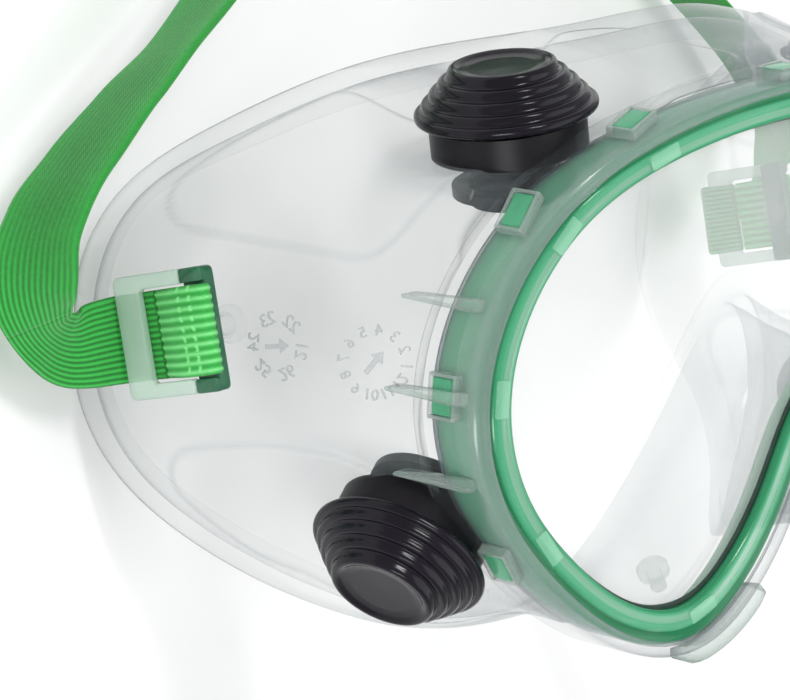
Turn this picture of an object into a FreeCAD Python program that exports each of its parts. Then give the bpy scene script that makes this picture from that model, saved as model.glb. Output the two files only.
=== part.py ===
"""Indirect-vent safety goggles, parametric assembly, millimetres.

Frame: the goggles lie on their face rim.  X runs to the wearer's left, +Y to the brow and
+Z out through the lens.  The origin is the centre of the face opening, 8 mm above the plane
that the rim's two lowest stretches, one at each temple, rest on.  The object is symmetric
about X = 0, apart from the strap.
"""
import FreeCAD, Part
import math
import os

V = FreeCAD.Vector
UP = V(0, 0, 1)

DIMENSIONS = {
    # lens and its cassette
    "lens_radius": 150.0, "lens_crown": 80.0, "lens_thick": 1.5, "lens_lap": 2.4,
    "ring_width": 5.5, "ring_front": 1.8, "ring_depth": 4.5, "ring_wall": 2.2,
    "seal_thick": 0.5, "seal_reach": 0.5, "fit_gap": 0.15,
    "lug_long": 5.6, "lug_tall": 3.4, "lug_proud": 1.7,
    # soft face frame
    "wall": 2.0,
    "collar_thick": 1.6, "lip_reach": 1.0, "lip_thick": 1.2, "rim_flange": 6.0, "flange_thick": 1.8, "flange_rise": 1.2,
    "rib_thick": 1.2, "neck_offset": 5.1, "pad_radius": 15.1, "pad_thick": 4.7,
    # vents
    "vent_bore": 6.8, "barrel_outer": 6.7, "barrel_inner": 5.3, "barrel_depth": 8.0,
    "base_radius": 12.0, "base_height": 4.8, "base_hollow": 10.6, "post_radius": 2.0,
    "post_height": 10.4, "spoke_width": 1.8, "spoke_height": 1.2,
    "cap_radius": 14.0, "cap_start": 5.4, "cap_step": 1.6, "cap_taper": 1.45, "cap_shell": 1.6,
    "retainer_radius": 9.4, "retainer_height": 1.5,
    # strap, buckles and adjuster
    "strap_width": 13.5, "strap_thick": 1.4,
    "buckle_long": 17.7, "buckle_wide": 19.0, "buckle_thick": 1.5, "buckle_lift": 2.0,
    "window_wide": 14.4, "window_start": 4.6, "window_end": 12.9, "bar_long": 4.3, "bar_thick": 2.2,
    "rivet_shank": 1.6, "rivet_head": 3.0, "rivet_bore": 1.75,
    "slider_long": 11.0, "slider_wide": 18.4, "slider_thick": 5.4, "slot_wide": 14.4, "slot_thick": 3.4,
    # nose studs
    "stud_head": 2.6, "stud_neck": 1.3, "stud_height": 4.5, "stud_cap": 1.2,
}

# Right half of the lens opening, brow to nose (X, Y); the left half is its mirror.
SIGHT_HALF = [(0, 40.5), (-21, 39.7), (-42, 35.5), (-58.8, 26.3), (-67.5, 12.3), (-69.4, -2),
              (-65.5, -15.8), (-57, -26.5), (-46.5, -34), (-36, -35.6), (-27, -30), (-19, -19),
              (-11, -5), (0, 1)]
# Right half of the face rim, brow to nose (X, Y, Z): lowest at the temples, highest at the nose.
RIM_HALF = [(0, 53, 45), (-27, 50.5, 41), (-60, 44.5, 25), (-76, 35.2, 12), (-83, 24.3, -0.5),
            (-84.8, 12, -7.2), (-84.8, 2, -8.8), (-84.6, -8, -7.8), (-82.8, -19.5, -2.5), (-76.3, -31.6, 10.5),
            (-60, -42.7, 24.7), (-42, -47.2, 35.5), (-29, -42, 44.5), (-20, -28, 51.5), (-12, -8, 57.5), (0, 5, 59)]
# Right half of the frame's waist, where the vents sit (X, Y).
WAIST_HALF = [(0, 49), (-27, 46.5), (-52, 37.5), (-69, 29), (-79, 15), (-81.5, -1), (-77.5, -14),
              (-68, -23), (-56, -32.5), (-44, -40), (-32, -38.5), (-22, -25), (-12, -6.5), (0, 2)]

# Seat centre and outward direction of the two right-hand vents.
UPPER_VENT = (V(-54.1, 34.3, 51.5), V(-0.21, 0.97, -0.04))
LOWER_VENT = (V(-66.8, -22.9, 46.6), V(-0.75, -0.65, 0.12))

# Strap route between the buckles: centre of the band and the direction of its width.
STRAP_ROUTE = [
    ((-91.2, 1.2, 3.3), (0, 1, -0.1)), ((-95.0, 0.8, 2.0), (0, 1, 0.05)), ((-99.5, 2.2, 2.0), (0.2, 0.9, 0.25)),
    ((-105.5, 6.8, 3.9), (0.45, 0.55, 0.6)), ((-109, 14, 5.9), (0.4, 0.1, 0.9)),
    ((-108, 22.5, 6.9), (0.1, -0.05, 1)), ((-101, 30.8, 7.1), (-0.05, 0, 1)), ((-90.5, 39.5, 7.1), (-0.1, 0.1, 1)),
    ((-80, 47.2, 7.0), (-0.25, 0.2, 1)), ((-69, 56, 6.4), (-0.2, 0.15, 1)), ((-50, 70, 3.6), (0, 0.05, 1)),
    ((-29, 79.2, 1.8), (0, 0, 1)), ((-12, 82, 1.5), (0, 0, 1)), ((2, 82.2, 1.5), (0, 0, 1)),
    ((16, 82, 1.5), (0, 0, 1)), ((34, 77.3, 1.2), (0, 0, 1)), ((54, 64, 0.2), (0, 0, 1)), ((72, 52, 0.4), (0.02, 0, 1)),
    ((90, 40, 2.4), (0, 0, 1)), ((103.5, 28, 5.0), (-0.05, 0, 1)), ((109, 15, 5.9), (-0.4, 0.1, 0.9)),
    ((105.5, 6.8, 3.9), (-0.45, 0.55, 0.6)), ((99.5, 2.2, 2.0), (-0.2, 0.9, 0.25)),
    ((95.0, 0.8, 2.0), (0, 1, 0.05)), ((91.2, 1.2, 3.3), (0, 1, -0.1)),
]
SLIDER_AT = V(2.0, 82.1, 1.5)
BUCKLE_AT = V(-85.2, 6.4, 22.6)
BUCKLE_TILT = 15.0
REST_LEVEL = -8.0  # the rim's lowest points are cut off here, to rest on one flat face each

doc = FreeCAD.newDocument("goggles")
sheet = doc.addObject("Spreadsheet::Sheet", "sizes")


def fill_sheet():
    for row, (alias, value) in enumerate(DIMENSIONS.items(), start=1):
        sheet.set("A%d" % row, alias)
        sheet.set("B%d" % row, str(value))
        sheet.setAlias("B%d" % row, alias)
    doc.recompute()


def size(alias):
    return float(sheet.get(alias))


def mirrored(point):
    return V(-point.x, point.y, point.z)


# ---------------------------------------------------------------- outlines and curved walls

def closed_outline(half):
    """Periodic curve through the half outline and its mirror image."""
    points = [V(*at) for at in half]
    points += [mirrored(V(*at)) for at in reversed(half[1:-1])]
    curve = Part.BSplineCurve()
    curve.interpolate(points, PeriodicFlag=True)
    return curve


def outline_points(curve, offset, count):
    """Points on the outline moved outwards by offset, starting at the brow."""
    first, last = curve.FirstParameter, curve.LastParameter
    points = []
    for i in range(count):
        at = first + (last - first) * i / count
        along = curve.tangent(at)[0]
        outward = V(along.y, -along.x, 0).normalize()
        if outward.y < 0 and i == 0:
            raise ValueError("the outline must run from the brow to the wearer's right")
        points.append(curve.value(at) + outward * offset)
    return points


def smooth_loop(points):
    curve = Part.BSplineCurve()
    curve.interpolate(points, PeriodicFlag=True)
    return Part.Wire([curve.toShape()])


def prism(curve, offset, low=-20.0, high=120.0, count=40):
    """Solid column whose plan is the outline moved outwards by offset."""
    points = [V(p.x, p.y, low) for p in outline_points(curve, offset, count)]
    return Part.Face(smooth_loop(points)).extrude(UP * (high - low))


def lens_disc(radius):
    """Round solid about the lens axis of curvature, which is parallel to Y."""
    centre = V(0, -120, size("lens_crown") - size("lens_radius"))
    return Part.makeCylinder(radius, 240, centre, V(0, 1, 0))


def lens_height(x, lift=0.0):
    radius = size("lens_radius") + lift
    return size("lens_crown") - size("lens_radius") + math.sqrt(radius ** 2 - x ** 2)


def between(outer, inner, lift_low, lift_high):
    """Band between two columns and between two lifts from the lens's front surface."""
    radius = size("lens_radius")
    band = outer.cut(inner)
    return band.common(lens_disc(radius + lift_high)).cut(lens_disc(radius + lift_low))


# ---------------------------------------------------------------- placing parts

def facing(origin, outward, along=None):
    """Placement whose local Z is outward and local X is as near along as it can be."""
    z_axis = V(outward).normalize()
    x_axis = V(along) if along else V(0, 0, 1)
    x_axis = (x_axis - z_axis * x_axis.dot(z_axis)).normalize()
    y_axis = z_axis.cross(x_axis)
    matrix = FreeCAD.Matrix(x_axis.x, y_axis.x, z_axis.x, origin.x,
                            x_axis.y, y_axis.y, z_axis.y, origin.y,
                            x_axis.z, y_axis.z, z_axis.z, origin.z, 0, 0, 0, 1)
    return FreeCAD.Placement(matrix)


def vent_placements():
    places = {}
    for level, (seat, outward) in (("upper", UPPER_VENT), ("lower", LOWER_VENT)):
        places[level + "_right"] = facing(seat, outward)
        places[level + "_left"] = facing(mirrored(seat), mirrored(outward))
    return places


def buckle_placements():
    tilt = math.radians(BUCKLE_TILT)
    down = V(0, -math.sin(tilt), -math.cos(tilt))
    return {"right": facing(BUCKLE_AT, V(-1, 0, 0), down),
            "left": facing(mirrored(BUCKLE_AT), V(1, 0, 0), down)}


# ---------------------------------------------------------------- document objects

def primitive(kind, name, **sizes):
    """Part primitive; each size is a sheet expression, and 'at' offsets its base."""
    item = doc.addObject("Part::" + kind, name)
    for axis, expression in zip("xyz", sizes.pop("at", (None, None, None))):
        if expression:
            item.setExpression("Placement.Base." + axis, expression)
    for prop, expression in sizes.items():
        item.setExpression(prop, expression)
    return item


def cylinder(name, radius, height, z="0"):
    return primitive("Cylinder", name, Radius=radius, Height=height, at=(None, None, z))


def box(name, length, width, height, at):
    return primitive("Box", name, Length=length, Width=width, Height=height, at=at)


def fuse(name, items):
    item = doc.addObject("Part::MultiFuse", name)
    item.Shapes = items
    item.Refine = True
    return item


def cut(name, base, tool):
    item = doc.addObject("Part::Cut", name)
    item.Base = base
    item.Tool = tool
    return item


def feature(name, shape):
    item = doc.addObject("Part::Feature", name)
    item.Shape = shape
    return item


def finish(item, node, placement=None):
    item.Label = node
    if placement:
        item.Placement = placement
    nodes[node] = item
    return item


nodes = {}


# ---------------------------------------------------------------- lens cassette

def make_lens(sight):
    column = prism(sight, size("lens_lap"))
    radius = size("lens_radius")
    shape = column.common(lens_disc(radius)).cut(lens_disc(radius - size("lens_thick")))
    finish(feature("lens_shape", shape), "lens")


def make_seal(sight):
    gap = 0.05
    outer = prism(sight, size("lens_lap") - 0.2)
    shape = between(outer, prism(sight, -size("seal_reach")), gap, size("seal_thick") - gap)
    finish(feature("seal_shape", shape), "lens_seal")


def lug_frames(sight, offset):
    """Frames round the cassette where a lug sits: X along the ring, Z out of the lens."""
    first, last = sight.FirstParameter, sight.LastParameter
    shares = (0.045, 0.12, 0.167, 0.229, 0.29, 0.372)
    frames = []
    for share in shares + tuple(1 - s for s in shares):
        at = first + (last - first) * share
        along = sight.tangent(at)[0].normalize()
        outward = V(along.y, -along.x, 0)
        spot = sight.value(at) + outward * offset
        spot.z = lens_height(spot.x, -size("ring_depth") / 2)
        frames.append(facing(spot, UP, along))
    return frames


def lug_blocks(sight, grow):
    """Blocks for the cassette's lugs, or a little larger for the pockets they sit in."""
    long, tall = size("lug_long") + 2 * grow, size("lug_tall") + 2 * grow
    deep = size("lug_proud") + 1.0
    blocks = []
    for frame in lug_frames(sight, size("ring_width") - 1.0):
        block = Part.makeBox(long, deep + grow, tall, V(-long / 2, -(deep + grow), -tall / 2))
        block.Placement = frame
        blocks.append(block)
    return blocks


def make_ring(sight):
    front_low = size("seal_thick")
    front_high = front_low + size("ring_front")
    opening = prism(sight, 0)
    outside = prism(sight, size("ring_width"))
    bezel = between(outside, opening, front_low, front_high)
    inside = prism(sight, size("ring_width") - size("ring_wall"))
    wall = between(outside, inside, -size("ring_depth"), front_low)
    shape = bezel.fuse([wall] + lug_blocks(sight, 0.0)).removeSplitter()
    finish(feature("ring_shape", shape), "lens_ring")


# ---------------------------------------------------------------- face frame

def wall_rows():
    """Rows of the frame wall from rim to collar: share of the height, then the shares of
    the rim, waist and neck outlines."""
    return [(0.0, 1.0, 0.0, 0.0), (0.14, 0.86, 0.14, 0.0), (0.38, 0.40, 0.60, 0.0),
            (0.64, 0.0, 1.0, 0.0), (0.85, 0.0, 0.72, 0.28), (1.0, 0.0, 0.0, 1.0)]


def wall_loops(outlines, inset, count=44):
    """Closed space curves of one skin of the frame, from the flange's edge to the collar."""
    sight, waist, rim = outlines
    lift = size("flange_thick") * (inset > 0)
    flange = []
    for point in outline_points(rim, -size("rim_flange"), count):
        flange.append(point + UP * (size("flange_rise") + lift))
    rings = [outline_points(rim, -inset, count), outline_points(waist, -inset, count),
             outline_points(sight, size("neck_offset") - inset, count)]
    loops = [smooth_loop(flange)]
    for rise, *shares in wall_rows():
        points = []
        for trio in zip(*rings):
            point = trio[0] * shares[0] + trio[1] * shares[1] + trio[2] * shares[2]
            top = lens_height(point.x, -size("ring_depth") - 1.2)
            base = trio[0].z + lift
            points.append(V(point.x, point.y, base * (1 - rise) + top * rise))
        loops.append(smooth_loop(points))
    return loops


def wall_shell(outlines):
    """Hollow frame wall with the turned-in flange that seals on the face."""
    skins = [wall_loops(outlines, 0.0), wall_loops(outlines, size("wall"))]
    faces = []
    for loops in skins:
        faces += Part.makeRuledSurface(loops[0], loops[1]).Faces
        faces += Part.makeLoft(loops[1:], False, False).Faces
    for end in (0, -1):
        faces += Part.makeRuledSurface(skins[0][end], skins[1][end]).Faces
    shell = Part.makeShell(faces)
    shell.sewShape()
    solid = Part.makeSolid(shell)
    if solid.Volume < 0:
        solid.reverse()
    return solid


def collar(sight):
    ring_edge = size("ring_width") + size("fit_gap")
    outer = prism(sight, ring_edge + size("collar_thick"))
    inner = prism(sight, ring_edge)
    top = size("seal_thick") + size("ring_front") + size("fit_gap")
    low = -size("ring_depth") - size("fit_gap")
    wall = between(outer, inner, low - 2.0, top)
    lip = between(outer, prism(sight, ring_edge - size("lip_reach")), top, top + size("lip_thick"))
    shelf = between(outer, prism(sight, 2.6), low - 2.0, low)
    return wall.fuse([lip, shelf])


def cassette_room(sight):
    """Space of the cassette, reaching a little way into the collar and its shelf."""
    column = prism(sight, size("ring_width") + size("fit_gap") + 0.4)
    return column.cut(lens_disc(size("lens_radius") - size("ring_depth") - size("fit_gap") - 0.4))


def temple_ribs():
    """Triangular ribs that brace the collar at each temple."""
    thick = size("rib_thick")
    ribs = []
    for height in (-13.0, 0.5, 14.0):
        inset = abs(height) * 0.12
        outer = -77.6 + inset
        points = [V(outer, height, 61.5), V(outer - 0.4, height, 56), V(outer - 1.4, height, 49),
                  V(outer + 2.6, height, 49), V(outer + 2.6, height, 61.5)]
        for side in (1, -1):
            loop = [V(p.x * side, p.y - thick / 2, p.z) for p in points]
            ribs.append(Part.Face(Part.makePolygon(loop + loop[:1])).extrude(V(0, thick, 0)))
    return ribs


def buckle_bosses():
    """Flat boss on each temple wall that the buckle turns on."""
    bosses = []
    for placement in buckle_placements().values():
        boss = Part.makeCylinder(4.2, 3.2, V(size("bar_long") / 2, 0, -3.2))
        boss.Placement = placement
        bosses.append(boss)
    return bosses


def make_face_frame(outlines):
    pieces = [collar(outlines[0])] + temple_ribs() + buckle_bosses()
    for placement in vent_placements().values():
        pad = Part.makeCylinder(size("pad_radius"), size("pad_thick"), V(0, 0, -size("pad_thick")))
        pad.Placement = placement
        pieces.append(pad.cut(cassette_room(outlines[0])))
    body = wall_shell(outlines).fuse(pieces)
    tools = lug_blocks(outlines[0], size("fit_gap"))
    for placement in vent_placements().values():
        bore = Part.makeCylinder(size("vent_bore"), 30, V(0, 0, -15))
        clear = Part.makeCylinder(size("cap_radius") + 0.6, 16, V(0, 0, 0))
        for tool in (bore, clear):
            tool.Placement = placement
            tools.append(tool)
    for placement in buckle_placements().values():
        hole = Part.makeCylinder(size("rivet_shank") + 0.1, 20, V(size("bar_long") / 2, 0, -10))
        foot = Part.makeCylinder(size("rivet_head") + 0.3, 16, V(size("bar_long") / 2, 0, -19.5))
        for tool in (hole, foot):
            tool.Placement = placement
            tools.append(tool)
    tools.append(Part.makeBox(300, 300, 20, V(-150, -150, REST_LEVEL - 20)))
    finish(feature("face_frame_shape", body.cut(tools)), "face_frame")


# ---------------------------------------------------------------- vents

def make_vent_base(where, placement):
    name = "base_" + where
    rim = cut(name + "_rim", cylinder(name + "_disc", "sizes.base_radius", "sizes.base_height"),
              cylinder(name + "_hollow", "sizes.base_hollow", "sizes.base_height", "sizes.spoke_height"))
    barrel = cylinder(name + "_barrel", "sizes.barrel_outer", "sizes.barrel_depth", "-sizes.barrel_depth")
    outside = fuse(name + "_outside", [rim, barrel])
    bore = cylinder(name + "_bore", "sizes.barrel_inner", "sizes.barrel_depth + sizes.base_height",
                    "-sizes.barrel_depth")
    tube = cut(name + "_tube", outside, bore)
    spokes = []
    for turn, (long, wide) in enumerate((("2 * sizes.barrel_inner + 1", "sizes.spoke_width"),
                                         ("sizes.spoke_width", "2 * sizes.barrel_inner + 1"))):
        spokes.append(box("%s_spoke%d" % (name, turn), long, wide, "sizes.spoke_height",
                          ("-(%s) / 2" % long, "-(%s) / 2" % wide, None)))
    post = cylinder(name + "_post", "sizes.post_radius", "sizes.post_height")
    finish(fuse(name + "_all", [tube, post] + spokes), "vent_base_" + where, placement)


def make_vent_cap(where, placement):
    """Stepped cap: five round tiers over a hollow, with a socket for the base's post."""
    name = "cap_" + where
    tiers, hollows = [], []
    for step in range(5):
        radius = "sizes.cap_radius - %d * sizes.cap_taper" % step
        start = "sizes.cap_start + %d * sizes.cap_step" % step
        tiers.append(cylinder("%s_tier%d" % (name, step), radius, "sizes.cap_step", start))
        if step < 4:
            hollows.append(cylinder("%s_hollow%d" % (name, step), radius + " - 1.3 * sizes.cap_shell",
                                    "sizes.cap_step", start))
    outside = fuse(name + "_outside", tiers)
    shell = cut(name + "_shell", outside, fuse(name + "_hollow", hollows))
    socket = cylinder(name + "_socket", "sizes.post_radius + 1.4", "4 * sizes.cap_step + 0.4", "sizes.cap_start")
    solid = fuse(name + "_solid", [shell, socket])
    bore = cylinder(name + "_bore", "sizes.post_radius + 0.1", "sizes.post_height - sizes.cap_start + 0.3",
                    "sizes.cap_start")
    finish(cut(name + "_all", solid, bore), "vent_cap_" + where, placement)


def make_vent_retainer(where, placement):
    name = "retainer_" + where
    start = "-sizes.pad_thick - sizes.retainer_height - 0.1"
    ring = cut(name + "_ring", cylinder(name + "_disc", "sizes.retainer_radius", "sizes.retainer_height", start),
               cylinder(name + "_bore", "sizes.vent_bore", "sizes.retainer_height", start))
    finish(ring, "vent_retainer_" + where, placement)


# ---------------------------------------------------------------- buckles and strap

def make_buckle(side, placement):
    """Strap buckle on its temple: a plate with a window, raised for the strap to pass under."""
    name = "buckle_" + side
    plate = box(name + "_plate", "sizes.buckle_long", "sizes.buckle_wide", "sizes.buckle_thick",
                (None, "-sizes.buckle_wide / 2", "sizes.buckle_lift"))
    window = box(name + "_window", "sizes.window_end", "sizes.window_wide", "3 * sizes.buckle_thick",
                 (None, "-sizes.window_wide / 2", "sizes.buckle_lift - sizes.buckle_thick"))
    seat = box(name + "_seat", "sizes.bar_long + 0.3", "2 * sizes.buckle_wide", "sizes.buckle_lift + sizes.bar_thick",
               ("-0.1", "-sizes.buckle_wide", None))
    frame = cut(name + "_frame", cut(name + "_open", plate, window), seat)
    finish(frame, "buckle_plate_" + side, placement)


def make_anchor_bar(side, placement):
    name = "bar_" + side
    bar = box(name + "_bar", "sizes.bar_long", "sizes.buckle_wide", "sizes.bar_thick",
              (None, "-sizes.buckle_wide / 2", "0.3"))
    hole = primitive("Cylinder", name + "_hole", Radius="sizes.rivet_bore", Height="3 * sizes.bar_thick",
                     at=("sizes.bar_long / 2", None, "-sizes.bar_thick"))
    sink = primitive("Cylinder", name + "_sink", Radius="sizes.rivet_head + 0.2", Height="sizes.bar_thick",
                     at=("sizes.bar_long / 2", None, "0.3 + sizes.bar_thick - 1.0"))
    finish(cut(name + "_sunk", cut(name + "_bored", bar, hole), sink),
           "anchor_bar_" + side, placement)


def make_rivet(side, placement):
    name = "rivet_" + side
    middle = "sizes.bar_long / 2"
    shank = primitive("Cylinder", name + "_shank", Radius="sizes.rivet_shank", Height="sizes.bar_thick + 4.3",
                      at=(middle, None, "-4.6"))
    head = primitive("Cylinder", name + "_head", Radius="sizes.rivet_head", Height="0.7",
                     at=(middle, None, "sizes.bar_thick - 0.5"))
    foot = primitive("Cylinder", name + "_foot", Radius="sizes.rivet_head", Height="0.9",
                     at=(middle, None, "-4.6"))
    finish(fuse(name + "_all", [shank, head, foot]), "buckle_rivet_" + side, placement)


def make_strap_end(side, placement):
    """Short folded end of the strap: under the plate, up through the window, over the bar."""
    thick, wide = size("strap_thick"), size("strap_width")
    low = 0.3
    high = size("bar_thick") + 0.5
    line = [(size("buckle_long") + 1.2, low), (size("window_end") - 0.2, low),
            (size("bar_long") + 1.2, high), (0.2, high)]
    under = [V(x, -wide / 2, z) for x, z in line]
    over = [V(x, -wide / 2, z + thick) for x, z in reversed(line)]
    loop = Part.makePolygon(under + over + under[:1])
    shape = Part.Face(loop).extrude(V(0, wide, 0))
    finish(feature("strap_end_%s_shape" % side, shape), "strap_end_" + side, placement)


def strap_width_at(knots, at):
    """Direction of the band's width at a parameter, blended between the route's points."""
    last = len(knots) - 2
    segment = max(0, min(last, sum(1 for knot in knots if knot <= at) - 1))
    share = (at - knots[segment]) / (knots[segment + 1] - knots[segment])
    share = share * share * (3 - 2 * share)
    before, after = (V(*STRAP_ROUTE[segment + i][1]).normalize() for i in (0, 1))
    return before * (1 - share) + after * share


def strap_sections():
    """Rectangular sections of the band along its smooth route."""
    centre = Part.BSplineCurve()
    centre.interpolate([V(*at) for at, _ in STRAP_ROUTE])
    knots = [centre.parameter(V(*at)) for at, _ in STRAP_ROUTE]
    half_wide, half_thick = size("strap_width") / 2, size("strap_thick") / 2
    stations = 3 * (len(STRAP_ROUTE) - 1)
    sections = []
    for i in range(stations + 1):
        share = i / stations
        at = centre.FirstParameter + (centre.LastParameter - centre.FirstParameter) * share
        along = centre.tangent(at)[0].normalize()
        width = strap_width_at(knots, at)
        width = (width - along * width.dot(along)).normalize()
        normal = along.cross(width)
        spot = centre.value(at)
        low = spot.z - abs(width.z) * half_wide - abs(normal.z) * half_thick
        spot.z += max(0.0, REST_LEVEL + 0.15 - low)
        corners = [spot + width * (half_wide * a) + normal * (half_thick * b)
                   for a, b in ((1, 1), (-1, 1), (-1, -1), (1, -1))]
        sections.append(Part.makePolygon(corners + corners[:1]))
    print("strap band length %.1f mm" % centre.length())
    return sections


def make_strap_band():
    shape = Part.makeLoft(strap_sections(), True, True)
    finish(feature("strap_band_shape", shape), "strap_band")


def make_slider():
    """Adjuster that the strap threads through, standing on edge with the strap."""
    outer = box("slider_outer", "sizes.slider_long", "sizes.slider_thick", "sizes.slider_wide",
                ("-sizes.slider_long / 2", "-sizes.slider_thick / 2", "-sizes.slider_wide / 2"))
    slot = box("slider_slot", "2 * sizes.slider_long", "sizes.slot_thick", "sizes.slot_wide",
               ("-sizes.slider_long", "-sizes.slot_thick / 2", "-sizes.slot_wide / 2"))
    finish(cut("slider_all", outer, slot), "strap_slider", FreeCAD.Placement(SLIDER_AT, FreeCAD.Rotation()))


# ---------------------------------------------------------------- nose studs

def make_nose_stud(side, sign):
    name = "stud_" + side
    neck = cylinder(name + "_neck", "sizes.stud_neck", "sizes.stud_height")
    head = cylinder(name + "_head", "sizes.stud_head", "sizes.stud_cap", "sizes.stud_height - sizes.stud_cap")
    seat = V(-28.2 * sign, -36.3, 67.5)
    placement = facing(seat, V(-0.57 * sign, 0.82, 0))
    finish(fuse(name + "_all", [neck, head]), "nose_stud_" + side, placement)


# ---------------------------------------------------------------- build and export

def check_and_export():
    doc.recompute()
    for item in doc.Objects:
        if "Invalid" in item.State or "Error" in item.State:
            raise RuntimeError("%s failed: %s" % (item.Name, item.State))
    os.makedirs("parts", exist_ok=True)
    for node, item in nodes.items():
        shape = item.Shape
        if shape.isNull() or not shape.isValid() or shape.Volume <= 0:
            raise RuntimeError("%s has no sound shape" % node)
        shape.exportStep("parts/%s.step" % node)
        extent = shape.BoundBox
        print("%-26s solids %d volume %9.1f  X %.1f..%.1f  Y %.1f..%.1f  Z %.1f..%.1f" % (
            node, len(shape.Solids), shape.Volume, extent.XMin, extent.XMax,
            extent.YMin, extent.YMax, extent.ZMin, extent.ZMax))


def main():
    fill_sheet()
    sight = closed_outline(SIGHT_HALF)
    outlines = [sight, closed_outline(WAIST_HALF), closed_outline(RIM_HALF)]
    make_face_frame(outlines)
    make_lens(sight)
    make_ring(sight)
    make_seal(sight)
    for where, placement in vent_placements().items():
        make_vent_base(where, placement)
        make_vent_cap(where, placement)
        make_vent_retainer(where, placement)
    for side, placement in buckle_placements().items():
        make_buckle(side, placement)
        make_anchor_bar(side, placement)
        make_rivet(side, placement)
        make_strap_end(side, placement)
    make_strap_band()
    make_slider()
    for side, sign in (("right", 1), ("left", -1)):
        make_nose_stud(side, sign)
    check_and_export()


main()
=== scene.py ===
"""Looks of the safety goggles: clear frame, green lens ring, stepped vent caps and ribbed strap.

Lengths in the tables below are millimetres in the row frame; mesh() turns them into metres.
"""
import math

import bpy
import numpy as np
from mathutils import Matrix, Vector


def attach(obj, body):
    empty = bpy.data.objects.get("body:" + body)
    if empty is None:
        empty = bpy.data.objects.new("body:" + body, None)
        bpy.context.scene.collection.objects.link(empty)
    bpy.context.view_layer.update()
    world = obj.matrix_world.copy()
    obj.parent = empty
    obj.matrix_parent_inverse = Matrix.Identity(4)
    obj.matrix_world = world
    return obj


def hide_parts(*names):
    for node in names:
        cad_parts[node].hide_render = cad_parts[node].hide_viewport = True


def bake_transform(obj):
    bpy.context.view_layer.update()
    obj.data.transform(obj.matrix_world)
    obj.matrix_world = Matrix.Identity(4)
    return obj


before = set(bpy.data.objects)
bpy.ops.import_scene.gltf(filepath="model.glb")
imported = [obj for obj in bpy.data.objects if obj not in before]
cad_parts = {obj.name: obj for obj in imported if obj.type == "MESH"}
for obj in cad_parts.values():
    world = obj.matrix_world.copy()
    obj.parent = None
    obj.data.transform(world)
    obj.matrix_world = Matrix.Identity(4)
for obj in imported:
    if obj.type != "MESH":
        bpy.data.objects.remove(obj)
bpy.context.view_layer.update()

# ------------------------------------------------------------------ design sizes, in mm

# Right halves of three outlines, brow to nose: lens opening, face rim and waist.
SIGHT_HALF = [(0, 40.5), (-21, 39.7), (-42, 35.5), (-58.8, 26.3), (-67.5, 12.3), (-69.4, -2),
              (-65.5, -15.8), (-57, -26.5), (-46.5, -34), (-36, -35.6), (-27, -30), (-19, -19),
              (-11, -5), (0, 1)]
RIM_HALF = [(0, 53, 45), (-27, 50.5, 41), (-60, 44.5, 25), (-76, 35.2, 12), (-83, 24.3, -0.5),
            (-84.8, 12, -7.2), (-84.8, 2, -8.8), (-84.6, -8, -7.8), (-82.8, -19.5, -2.5),
            (-76.3, -31.6, 10.5), (-60, -42.7, 24.7), (-42, -47.2, 35.5), (-29, -42, 44.5),
            (-20, -28, 51.5), (-12, -8, 57.5), (0, 5, 59)]
WAIST_HALF = [(0, 49), (-27, 46.5), (-52, 37.5), (-69, 29), (-79, 15), (-81.5, -1), (-77.5, -14),
              (-68, -23), (-56, -32.5), (-44, -40), (-32, -38.5), (-22, -25), (-12, -6.5), (0, 2)]
LENS_RADIUS, LENS_CROWN = 150.0, 80.0
REST_LEVEL = -8.0
NECK_OFFSET, NECK_LIFT, WALL_THICK = 5.1, -5.7, 2.0
FLANGE_WIDE, FLANGE_RISE, FLANGE_THICK = 6.0, 1.2, 1.8
COLLAR_OFFSET, RING_OFFSET, RELIEF, WALL_HEIGHT = 7.25, 5.5, 0.22, 50.0
VENT_FLAT, VENT_DEEP = (15.0, 27.0), (12.0, 20.0)  # full and no flattening, round and along a vent
VENTS = {"upper": ((-54.1, 34.3, 51.5), (-0.21, 0.97, -0.04)),
         "lower": ((-66.8, -22.9, 46.6), (-0.75, -0.65, 0.12))}
LUG_SHARES = (0.045, 0.12, 0.167, 0.229, 0.29, 0.372)
BUCKLE_AT, BUCKLE_TILT = (-85.2, 6.4, 22.6), 15.0
STRAP_WIDE, STRAP_THICK = 13.5, 1.4
STATION, FLOOR_GAP, OVERLAP = 0.55, 0.12, 0.4
GATHER_AT, GATHER_LONG, GATHER_SHARE = 37.0, 8.0, 0.24
# Past the fold the ribs flatten, their painted light and shade fade, and the middle of the strap gets painted
# shade.
FLAT_SHADED_FROM, FLAT_SHADED_TO, TURNS_TO = 38.0, 60.0, 30.0  # all from the cloth's end
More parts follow.
